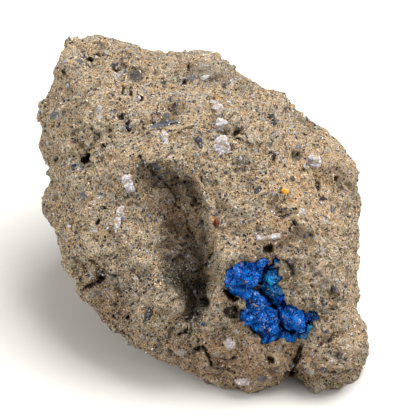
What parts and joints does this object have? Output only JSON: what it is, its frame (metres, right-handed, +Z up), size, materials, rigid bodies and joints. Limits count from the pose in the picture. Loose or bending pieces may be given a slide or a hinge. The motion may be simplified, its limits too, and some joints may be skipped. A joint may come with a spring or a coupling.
{
  "type": "hauyne on matrix",
  "caption": "Lump of tan volcanic tuff with a deep hollow and a nest of rounded blue hauyne crystals in its show face, resting on a flat broken base.",
  "frame": {"origin": "on the resting plane, under the middle of the stone's outline", "axes": "+Z up; the show face with the blue crystals looks towards -Y and up"},
  "size_m": [0.0332, 0.0339, 0.0242],
  "materials": {
    "tuff": "matte",
    "hauyne": "gloss",
    "sanidine": "satin",
    "augite": "satin",
    "titanite": "satin"
  },
  "bodies": {
    "root": {"matrix_stone": "tuff", "hauyne_crystal_round": "hauyne", "hauyne_crystal_upper": "hauyne", "hauyne_crystal_lower": "hauyne", "hauyne_crystal_middle": "hauyne", "hauyne_crystal_side": "hauyne", "hauyne_crystal_edge": "hauyne", "hauyne_grain_1": "hauyne", "hauyne_grain_2": "hauyne", "sanidine_crystal_1": "sanidine", "sanidine_crystal_2": "sanidine", "sanidine_crystal_3": "sanidine", "sanidine_crystal_4": "sanidine", "sanidine_crystal_5": "sanidine", "sanidine_crystal_6": "sanidine", "sanidine_crystal_7": "sanidine", "sanidine_crystal_8": "sanidine", "sanidine_crystal_9": "sanidine", "sanidine_crystal_10": "sanidine", "augite_crystal_1": "augite", "augite_crystal_2": "augite", "augite_crystal_3": "augite", "augite_crystal_4": "augite", "augite_crystal_5": "augite", "augite_crystal_6": "augite", "augite_crystal_7": "augite", "titanite_crystal": "titanite"}
  },
  "joints": []
}
